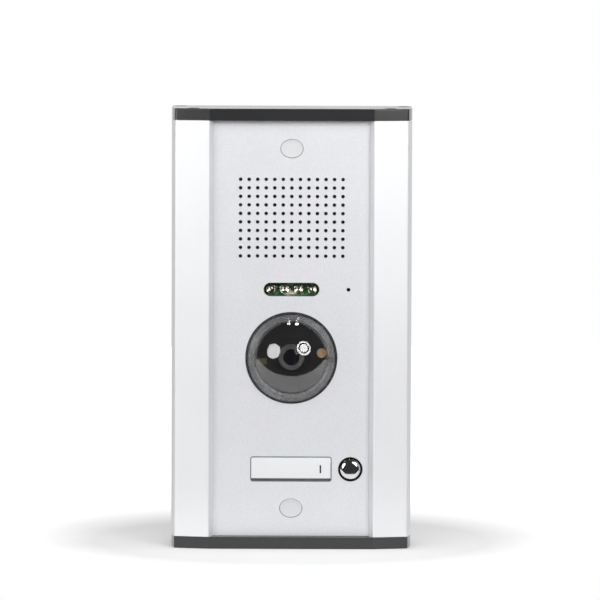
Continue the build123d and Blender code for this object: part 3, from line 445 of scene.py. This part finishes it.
# %% Dress the parts
dressed = {
    plate_metal: ["faceplate"],
    rail_metal: ["left_rail", "right_rail"],
    cap_plastic: ["top_cap", "bottom_cap"],
    plug_plastic: ["upper_screw_plug", "lower_screw_plug"],
    box_plastic: ["back_plate", "screw_cups", "speaker_frame", "trimmer_bodies"],
    rubber: ["wall_seal", "cable_grommet", "dome_gasket", "microphone_boot"],
    foam: ["speaker_gasket"],
    camera_plastic: ["camera_carrier", "lens_holder", "capacitors", "microphone"],
    sensor_plastic: ["light_sensor"],
    connector_plastic: ["camera_connector"],
    tray_plastic: ["name_tray", "retainer_spacers", "clamp_spacers", "button_spacers", "main_spacers",
                   "lamp_spacers"],
    gloss_plastic: ["button_collar", "switch_plunger"],
    terminal_plastic: ["terminal_block"],
    component_resin: ["control_chips", "door_relay", "button_switch"],
    trimmer_plastic: ["volume_trimmer", "gain_trimmer"],
    ferrite: ["speaker_magnet"],
    zinc: ["cap_screws", "fixing_screws", "fixing_posts", "speaker_clamps", "board_screws",
           "terminal_screws", "button_spring"],
    barrel_plastic: ["lens_barrel"],
    retainer_metal: ["dome_retainer"],
    chrome: ["button_cap"],
    dome_plastic: ["dome_window"],
    window_plastic: ["lamp_window", "name_window"],
    lamp_resin: ["infrared_lamps", "name_lamps"],
    lens_glass: ["lens_glass"],
    board_lacquer: ["camera_board", "lamp_board", "button_board", "main_board"],
    speaker_cloth: ["speaker_cloth"],
    cone_paper: ["speaker_cone"],
    name_card: ["name_card"],
}
bare = set(nodes)
for finish, names in dressed.items():
    for name in names:
        for slot in nodes[name].material_slots:
            slot.material = finish
        bare.discard(name)
print("still bare:", sorted(bare))

# %% [markdown]
# ## From a mesh to a piece of the panel
# Every new piece needs the same few steps: its mesh is put into the scene, wears a
# finish and rides on the body it belongs to.
# A round or wound mesh also has its seam closed, its faces turned outwards and
# shaded smoothly. Two helpers do this, so that no piece can miss a step.

# %% Two helpers
def shown(name, made, finish):
    """An object in the scene, made from a bmesh and wearing a finish."""
    mesh = bpy.data.meshes.new(name)
    made.to_mesh(mesh)
    made.free()
    mesh.materials.append(finish)
    shape = bpy.data.objects.new(name, mesh)
    bpy.context.collection.objects.link(shape)
    print(name, len(mesh.polygons), "faces")
    return shape


def piece(name, made, finish, body):
    """A new piece from a bmesh, with its finish and its body."""
    shape = shown(name, made, finish)
    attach(shape, body)
    return shape


def closed(made):
    """Close the seam of a round mesh, turn its faces outwards and shade them smoothly."""
    bmesh.ops.remove_doubles(made, verts=made.verts, dist=0.000002)
    bmesh.ops.recalc_face_normals(made, faces=made.faces)
    for face in made.faces:
        face.smooth = True
    return made


# %% [markdown]
# ## The number on the card
# A plain figure 1 is printed near the right end of the card. It could be a pattern
# in the card's finish, but a shape stays sharp from close by. Text in Blender is a
# curve, so it is turned into a mesh before it is moved, and then its place can be
# kept in the mesh itself. The ink gets a real, very small thickness.

# %% Print the figure
card_low, card_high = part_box("name_card")
figure_height, figure_right_margin = 0.0044, 0.0056
figure_boldness = 0.022
ink_thickness = 0.00002


def printed_figure():
    letter = bpy.data.curves.new("figure", "FONT")
    letter.body = "1"
    letter.size = 1.0
    letter.offset = figure_boldness
    shape = bpy.data.objects.new("figure", letter)
    bpy.context.collection.objects.link(shape)
    mesh = bpy.data.meshes.new_from_object(shape)
    bpy.data.objects.remove(shape)
    made = bmesh.new()
    made.from_mesh(mesh)
    foot = min(v.co.y for v in made.verts)
    tall = max(v.co.y for v in made.verts) - foot
    side = min(v.co.x for v in made.verts)
    bmesh.ops.translate(made, verts=made.verts, vec=(-side, -foot, 0))
    bmesh.ops.scale(made, verts=made.verts, vec=Vector((1, 1, 1)) * figure_height / tall)
    bmesh.ops.rotate(made, verts=made.verts, matrix=Matrix.Rotation(radians(90), 3, "X"))
    bmesh.ops.solidify(made, geom=made.faces, thickness=ink_thickness)
    front = min(v.co.y for v in made.verts)
    left = card_high.x - figure_right_margin
    floor = (card_low.z + card_high.z) / 2 - figure_height / 2
    bmesh.ops.translate(made, verts=made.verts, vec=(left, card_low.y - ink_thickness - front, floor))
    bmesh.ops.recalc_face_normals(made, faces=made.faces)
    return made


ink = moulded("black_printing_ink", paint(24, 24, 26), 0.6, depth=0.000002)
piece("printed_figure", printed_figure(), ink, "panel")

# %% [markdown]
# ## The blob of sealant between the lamps
# The lamp board is held with a dab of silicone, a soft beige lump low in the
# middle of the window. It could be sculpted, but for so small a lump a ball of
# even triangles will do: slow ripples are pushed into it, and it is flattened.

# %% A dab of silicone
board_low, board_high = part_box("lamp_board")
board_middle = (board_low + board_high) / 2
dab_size = (0.0038, 0.0022, 0.0014)
dab_left, dab_proud, dab_below = 0.0004, 0.0010, 0.0026


def sealant_dab():
    made = bmesh.new()
    bmesh.ops.create_icosphere(made, subdivisions=4, radius=1.0)
    for point in made.verts:
        ripple = 0.10 * sin(5 * point.co.x + 2 * point.co.z) + 0.07 * cos(7 * point.co.z)
        point.co *= 1 + ripple
    place = (board_middle.x - dab_left, board_low.y - dab_proud, board_middle.z - dab_below)
    bmesh.ops.scale(made, verts=made.verts, vec=dab_size)
    bmesh.ops.translate(made, verts=made.verts, vec=place)
    return closed(made)


sealant = moulded("beige_sealant", paint(196, 190, 172), 0.42, grain=500, depth=0.00008, spread=0.08)
piece("lamp_sealant", sealant_dab(), sealant, "panel")

# %% [markdown]
# ## The reflector cup inside each lamp
# A clear lamp shows the small bright cup that its chip sits in. A cone with a hole
# would come near, but the flat floor and the thin rim are what glint. So each cup
# is half of its section, drawn as a short line and spun round the lamp's own axis,
# and the same spinning helper will make the button and the dome.

# %% Spin the cups
lamp_low, lamp_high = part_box("infrared_lamps")
lamp_count = 4
lamp_radius = (lamp_high.z - lamp_low.z) / 2
lamp_pitch = (lamp_high.x - lamp_low.x - 2 * lamp_radius) / (lamp_count - 1)
cup_inset = 0.0030        # from the tip of the lamp to the rim of its cup
cup_floor, cup_mouth, cup_rim = 0.0006, 0.0014, 0.0016
cup_depth, cup_length = 0.0007, 0.0012


def spin(made, profile, centre, steps):
    """Spin half a section round the front-to-back axis. A profile holds (radius, y) places."""
    line = [made.verts.new((centre.x + out, y, centre.z)) for out, y in profile]
    edges = [made.edges.new(pair) for pair in zip(line, line[1:])]
    bmesh.ops.spin(
        made, geom=line + edges, cent=(centre.x, 0, centre.z), axis=(0, 1, 0), angle=2 * pi, steps=steps,
        use_merge=True)


def lamp_cups():
    """One cup for each lamp, spun round that lamp."""
    made = bmesh.new()
    rim = lamp_low.y + cup_inset
    profile = [(0.0, rim + cup_depth), (cup_floor, rim + cup_depth), (cup_mouth, rim), (cup_rim, rim),
               (cup_rim, rim + cup_length), (0.0, rim + cup_length)]
    for count in range(lamp_count):
        centre = Vector((lamp_low.x + lamp_radius + count * lamp_pitch, 0, (lamp_low.z + lamp_high.z) / 2))
        spin(made, profile, centre, 32)
    return closed(made)


cup_metal = turned("silvered_cup", paint(250, 247, 236), 0.12)
piece("lamp_cups", lamp_cups(), cup_metal, "panel")

# %% [markdown]
# ## The chromed button cap
# The cap is a low crown: nearly flat in the middle, then rounded quickly at the
# edge. Polished chrome shows that curve through what it mirrors, dark in the
# middle and pale round the shoulder, so the profile matters more than the colour.
# A bevelled disc would have the right outline but mirror the wrong things. Half
# of the true profile is drawn and spun round the button's axis instead.

# %% Spin the button cap
cap_low, cap_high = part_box("button_cap")
cap_middle = (cap_low + cap_high) / 2
cap_flange_radius = (cap_high.x - cap_low.x) / 2
cap_radius = cap_flange_radius - 0.0008
cap_flange = 0.0010
crown_radius = 0.020                    # of the sphere that the middle belongs to
crown_edge = 0.64 * cap_radius          # where the shoulder begins
shoulder_slope = 0.95                   # drop for each metre outwards, at the skirt
crown_steps, shoulder_steps = 8, 12


def spun(profile, centre, steps):
    """A closed body that is a single spun profile."""
    made = bmesh.new()
    spin(made, profile, centre, steps)
    return closed(made)


def button_profile():
    """Crown, rounded shoulder, skirt and flange, from the front of the axis to its back."""
    first_slope = crown_edge / crown_radius
    reach = cap_radius - crown_edge
    places = []
    for step in range(crown_steps + 1):
        out = step / crown_steps * crown_edge
        places.append((out, cap_low.y + out ** 2 / (2 * crown_radius)))
    shoulder = places[-1][1]
    for step in range(1, shoulder_steps + 1):
        out = step / shoulder_steps * reach
        drop = first_slope * out + (shoulder_slope - first_slope) * out ** 2 / (2 * reach)
        places.append((crown_edge + out, shoulder + drop))
    back = cap_high.y
    return places + [(cap_radius, back - cap_flange), (cap_flange_radius, back - cap_flange),
                     (cap_flange_radius, back), (0.0, back)]


crown = piece("chrome_button", spun(button_profile(), cap_middle, 96), chrome, "call_button")
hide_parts("button_cap")

# %% [markdown] ## The spring under the button The coil spring gets shorter when
# the button is pressed, but this copy of the coil keeps one length: a small circle
# of wire that is spun round the button's axis while it also moves along it, and it
# stands on the board.

# %% Wind the spring
coil_low, coil_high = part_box("button_spring")
wire_radius, coil_pitch = 0.00025, 0.0013
coil_radius = (coil_high.x - coil_low.x) / 2 - wire_radius
coil_length = coil_high.y - coil_low.y
steps_each_turn = 28


def coil_spring():
    made = bmesh.new()
    bmesh.ops.create_circle(made, segments=10, radius=wire_radius)
    start = Vector((cap_middle.x + coil_radius, coil_high.y - wire_radius, cap_middle.z))
    bmesh.ops.translate(made, verts=made.verts, vec=start)
    rise = coil_length - 2 * wire_radius
    turns = rise / coil_pitch
    steps = round(steps_each_turn * turns)
    bmesh.ops.spin(
        made, geom=list(made.verts) + list(made.edges), cent=(cap_middle.x, 0, cap_middle.z), axis=(0, 1, 0),
        dvec=(0, -rise / steps, 0), angle=2 * pi * turns, steps=steps)
    bmesh.ops.holes_fill(made, edges=[edge for edge in made.edges if edge.is_boundary], sides=0)
    return closed(made)


coil = piece("coil_spring", coil_spring(), zinc, "panel")
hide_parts("button_spring")
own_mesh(coil)
print("coil stands", round(coil_low.y, 5), "to", round(coil_high.y, 5))

# %% [markdown]
# ## The clear dome
# The dome is a shallow cap of a sphere with an even wall, moulded in one piece with
# the flat flange that is clamped behind the plate. Round its foot the tool left
# fine rings, and these are what draw the bright wedges at its upper left and right.
# The engineering mesh has the right shape but flat facets, which break up mirrored
# lamps. So the whole wall is one fine profile, out over the rings and back along
# the inside, spun round the axis.

# %% Spin the dome
dome_wall, dome_flange, flange_width = 0.0016, 0.0012, 0.0037
plate_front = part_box("faceplate")[0].y
dome_radius = (dome_high.x - dome_low.x) / 2 - flange_width
dome_height = plate_front - dome_low.y
sphere_radius = (dome_radius ** 2 + dome_height ** 2) / (2 * dome_height)
sphere_middle = dome_low.y + sphere_radius
ring_pitch, ring_depth, ring_start = 0.0013, 0.00011, 0.0202
outside_steps, inside_steps = 192, 48


def dome_profile():
    """Outside from the top of the dome to the flange, then back along the inside."""
    edge_angle = asin(dome_radius / sphere_radius)
    start_angle = asin(ring_start / sphere_radius)
    places = []
    for step in range(outside_steps + 1):
        angle = step / outside_steps * edge_angle
        along = max(0.0, (angle - start_angle) * sphere_radius)
        radius = sphere_radius - ring_depth * (0.5 - 0.5 * cos(2 * pi * along / ring_pitch))
        places.append((radius * sin(angle), sphere_middle - radius * cos(angle)))
    places[0] = (0.0, dome_low.y)
    bore = dome_radius - dome_wall
    inner_radius = sphere_radius - dome_wall
    rim, shelf = dome_radius + flange_width, dome_high.y - dome_flange
    places += [(dome_radius, shelf), (rim, shelf), (rim, dome_high.y), (bore, dome_high.y)]
    inner_angle = asin(bore / inner_radius)
    for step in range(inside_steps + 1):
        angle = (1 - step / inside_steps) * inner_angle
        places.append((inner_radius * sin(angle), sphere_middle - inner_radius * cos(angle)))
    places[-1] = (0.0, sphere_middle - inner_radius)
    return places


dome = piece("clear_dome", spun(dome_profile(), dome_middle, 144), dome_plastic, "panel")
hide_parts("dome_window")

# %% [markdown]
# ## Ridges on the ring behind the dome
# Between the camera's opening and the wall of the dome the ring is cut into fine
# steps, like the grooves of a record. Tool marks drawn in the finish are too
# shallow to catch the lamps as wedges of light, so these few are real ridges: a
# saw-tooth line, spun round the dome's axis.

# %% Cut the ridges
ring_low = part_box("dome_retainer")[0]
ridge_first, ridge_last = 0.0198, 0.0224
ridge_pitch, ridge_height = 0.00085, 0.00028
ridge_sunk = 0.0001       # how far the ridges' foot is let into the ring


def ridge_profile():
    """Saw-tooth steps that stand on the front of the ring."""
    places = [(ridge_first, ring_low.y + ridge_sunk)]
    for step in range(int((ridge_last - ridge_first) / ridge_pitch)):
        start = ridge_first + step * ridge_pitch
        places += [(start + 0.15 * ridge_pitch, ring_low.y - ridge_height),
                   (start + 0.45 * ridge_pitch, ring_low.y - ridge_height),
                   (start + ridge_pitch, ring_low.y)]
    return places + [(places[-1][0], ring_low.y + ridge_sunk), places[0]]


piece("retainer_ridges", spun(ridge_profile(), dome_middle, 128), retainer_metal, "panel")

# %% [markdown]
# ## The painted shade round the name card
# A dark sheet behind the clear window paints the shade along its edges: thin
# along the top and the sides, and wider along the bottom as a painted shadow in
# the recess where a fingertip lifts the card out. Four strips would leave seams at
# the corners. So a flat sheet is inset to make the frame, its middle is taken out,
# the inner corners at the bottom are raised, and the frame is given a thickness.

# %% Make the painted shade frame
pane_low, pane_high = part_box("name_window")
edge_width, edge_foot, edge_thickness = 0.00055, 0.0010, 0.00003
edge_clearance = 0.0004   # all that the sheet is smaller than the window


def painted_shade_frame():
    made = bmesh.new()
    bmesh.ops.create_grid(made, x_segments=1, y_segments=1, size=0.5)
    bmesh.ops.rotate(made, verts=made.verts, matrix=Matrix.Rotation(radians(90), 3, "X"))
    wide, tall = pane_high.x - pane_low.x - edge_clearance, pane_high.z - pane_low.z - edge_clearance
    bmesh.ops.scale(made, verts=made.verts, vec=(wide, 1, tall))
    inner = bmesh.ops.inset_region(
        made, faces=made.faces, thickness=edge_width, use_even_offset=True, use_boundary=True)
    outer = set(inner["faces"])
    bmesh.ops.delete(made, geom=[face for face in made.faces if face not in outer], context="FACES_ONLY")
    inner_foot = edge_width - tall / 2
    for point in made.verts:
        if abs(point.co.z - inner_foot) < 0.00001:
            point.co.z += edge_foot
    bmesh.ops.solidify(made, geom=made.faces, thickness=edge_thickness)
    middle = (pane_low + pane_high) / 2
    bmesh.ops.translate(made, verts=made.verts, vec=(middle.x, pane_high.y - edge_thickness, middle.z))
    bmesh.ops.recalc_face_normals(made, faces=made.faces)
    return made


# A dark sheet as painted shade along the window's edges, widest along the bottom as a painted shadow.
painted_edge_shade = moulded("painted_window_edge_shade", paint(58, 60, 64), 0.5, depth=0.000002)
piece("name_window_shade_frame", painted_shade_frame(), painted_edge_shade, "panel")

# %% [markdown]
# ## The table
# The panel stands on a pale table that ends a little in front of it, and the dome
# mirrors that edge as a curved line. Under plain lamps the table would be grey
# far away. More light would bleach the panel, so the table itself glows a little,
# and only for rays that come straight from the camera: weakly near the panel,
# where its shadow has to stay, and more with distance, until it meets the white.

# %% Lay the table
table_front, table_back, table_side = -0.147, 1.3, 1.1
near_glow, far_glow, mirrored_glow = 0.24, 0.86, 0.4
glow_begins, glow_rise = 0.75 / 7.0, 7.0


def white_table():
    finish = Finish("white_table")
    lit = finish.shader(
        Base_Color=paint(206, 206, 206), Roughness=0.7 + 0.1 * finish.noise(finish.place(), 60))
    path = finish.box("ShaderNodeLightPath")
    straight = (path["Is Camera Ray"] + path["Is Transmission Ray"]).limited()
    parts = finish.box("ShaderNodeSeparateXYZ", {}, {0: finish.place()})
    away = (parts["X"] * parts["X"] + parts["Y"] * parts["Y"]).root()
    far = (away * glow_rise - glow_begins * glow_rise).limited()
    strength = straight * (near_glow + far_glow * far) + path["Is Glossy Ray"] * mirrored_glow
    lift = finish.box("ShaderNodeEmission", {}, {"Strength": strength})[0]
    return finish.output(finish.box("ShaderNodeAddShader", {}, {0: lit, 1: lift})[0])


sheet = bmesh.new()
bmesh.ops.create_grid(sheet, x_segments=1, y_segments=1, size=0.5)
bmesh.ops.scale(sheet, verts=sheet.verts, vec=(2 * table_side, table_back - table_front, 1))
bmesh.ops.translate(sheet, verts=sheet.verts, vec=(0, (table_front + table_back) / 2, low.z))
shown("table", sheet, white_table())

# %% [markdown]
# ## A dark room in front
# A mirror is only as good as what stands in front of it. With white all round, the
# dome and the chrome would look like milk. So a big dark box with its back open
# stands in front of the panel. Only mirrored and bent rays see it: it hides
# nothing from the camera and takes no light from the table.

# %% Build the room
room_size, room_rise = (4.4, 2.7, 3.4), 0.75


def only_mirrored(shape):
    """Stage something that shows in mirrors and through clear plastic, and nowhere else."""
    shape.visible_camera = False
    shape.visible_diffuse = False
    shape.visible_shadow = False


def glowing(name, colour, strength):
    """A surface that gives its own light."""
    finish = Finish(name)
    return finish.output(finish.box("ShaderNodeEmission", {}, {"Color": colour, "Strength": strength})[0])


room = bmesh.new()
bmesh.ops.create_cube(room, size=1.0)
bmesh.ops.scale(room, verts=room.verts, vec=room_size)
bmesh.ops.translate(room, verts=room.verts, vec=(0, -room_size[1] / 2, room_rise))
open_side = max(room.faces, key=lambda face: face.calc_center_median().y)
bmesh.ops.delete(room, geom=[open_side], context="FACES_ONLY")
only_mirrored(shown("dark_room", room, glowing("dark_room_wall", paint(60, 58, 56), 1.0)))

# %% [markdown]
# ## The white behind everything
# A white wall would need light of its own to look white, and would throw it back
# at the panel. The world does it without: full white for the camera and for
# mirrored and bent rays, and a weak even light for everything else.

# %% Set the world
ambient = 0.30
backdrop = Finish("studio", "worlds")
path = backdrop.box("ShaderNodeLightPath")
seen = (path["Is Camera Ray"] + path["Is Glossy Ray"] + path["Is Transmission Ray"]).limited()
white = backdrop.box(
    "ShaderNodeBackground", {}, {"Color": (1, 1, 1, 1), "Strength": seen * (1.0 - ambient) + ambient})[0]
bpy.context.scene.world = backdrop.output(white, "ShaderNodeOutputWorld")
print("world:", bpy.context.scene.world.name, "with ambient light", ambient)

# %% [markdown]
# ## Lamps
# Two soft boxes stand in front, upper left and upper right. Two small round
# ceiling lamps hang overhead. A wide fill, above and in front, makes the top of
# the panel a little brighter than its foot. A mirrored lamp is far brighter than
# the light that it gives on a matt plate would suggest, so the two jobs are split:
# the soft boxes and the fill give light but are kept out of mirrored rays.

# %% Hang the lamps
dome_front = Vector((dome_middle.x, dome_low.y, dome_middle.z))
left_way, right_way = (-0.684, -0.683, 0.260), (0.504, -0.782, 0.400)
fill_way = (0.0, -0.72, 0.69)


def lamp(name, direction, distance, size, power, mirrored):
    """A soft round lamp seen from the dome in a direction, and turned towards it."""
    light = bpy.data.lights.new(name, "AREA")
    light.shape, light.size, light.energy = "DISK", size, power
    spot = bpy.data.objects.new(name, light)
    bpy.context.collection.objects.link(spot)
    way = Vector(direction).normalized()
    spot.location = dome_front + way * distance
    spot.rotation_euler = way.to_track_quat("Z", "Y").to_euler()
    spot.visible_glossy = mirrored
    spot.visible_transmission = mirrored
    print(name, power, "watts")


lamp("left_soft_box", left_way, distance=1.02, size=0.60, power=2.2, mirrored=False)
lamp("right_soft_box", right_way, distance=1.02, size=0.50, power=4.5, mirrored=False)
lamp("left_ceiling_lamp", (-0.080, 0.0, 1.0), distance=1.5, size=0.17, power=1.9, mirrored=True)
lamp("right_ceiling_lamp", (0.160, 0.0, 1.0), distance=1.5, size=0.17, power=1.9, mirrored=True)
lamp("overhead_fill", fill_way, distance=0.68, size=0.5, power=2.3, mirrored=False)

# %% [markdown]
# ## What the mirrors see of the soft boxes
# The other half of the split: a glowing sheet stands in front of each soft box
# and shows only in mirrors. On the left it is a plain eight-sided cloth. On the
# right it is a ring round a bright middle, as on a beauty dish. A picture of a
# lamp could be used, but a shape stays sharp and can be changed with one number.

# %% Hang the mirrored fronts
def glowing_front(name, direction, distance, radius, sides, strength, ring=0.0, gap=0.0):
    """A bright sheet, or a bright ring and a spot with a dark gap between them."""
    made = bmesh.new()
    bmesh.ops.create_circle(made, cap_ends=True, segments=sides, radius=radius)
    if ring:
        whole = list(made.faces)
        bmesh.ops.inset_region(made, faces=whole, thickness=ring, use_boundary=True, use_even_offset=True)
        middle = [face for face in made.faces if face.calc_center_median().length < 0.001]
        bmesh.ops.inset_region(made, faces=middle, thickness=gap, use_boundary=True, use_even_offset=True)
        inside = radius - ring - gap
        between = [face for face in made.faces
                   if inside + 0.1 * gap < face.calc_center_median().length < inside + 0.9 * gap]
        bmesh.ops.delete(made, geom=between, context="FACES_ONLY")
    way = Vector(direction).normalized()
    turn = way.to_track_quat("Z", "Y").to_matrix().to_4x4()
    bmesh.ops.transform(made, matrix=Matrix.Translation(dome_front + way * distance) @ turn, verts=made.verts)
    only_mirrored(shown(name, made, glowing(name, (1, 1, 1, 1), strength)))


glowing_front("left_mirrored_front", left_way, distance=1.0, radius=0.31, sides=8, strength=6.3)
glowing_front(
    "right_mirrored_front", right_way, distance=1.0, radius=0.30, sides=24, strength=9.0, ring=0.07, gap=0.06)

# %% [markdown]
# ## Camera
# A long lens from about three metres, a little above the panel and looking
# slightly down, keeps its sides nearly parallel. A short lens close by would show
# the same face, but its sides would run together. The aim is set a little above
# and beside the panel's middle, and the camera is turned by a fifth of a degree,
# as on a tripod that isn't quite level.

# %% Set up the camera
distance, downward, roll = 3.3, radians(4.25), radians(0.2)
aim_beside, aim_depth, aim_above = 0.0046, -0.035, 0.0156
middle = (low + high) / 2
aim = Vector((middle.x + aim_beside, aim_depth, middle.z + aim_above))
eye = aim + distance * Vector((0, -cos(downward), sin(downward)))
lens = bpy.data.cameras.new("camera")
lens.sensor_width = 36.0
lens.lens = 367.0
camera = bpy.data.objects.new("camera", lens)
bpy.context.collection.objects.link(camera)
camera.location = eye
turn = (aim - eye).to_track_quat("-Z", "Y").to_matrix() @ Matrix.Rotation(roll, 3, "Z")
camera.rotation_euler = turn.to_euler()
bpy.context.scene.camera = camera
bpy.context.scene.view_settings.view_transform = "Standard"
print("camera at", [round(c, 3) for c in eye])

# %% [markdown]
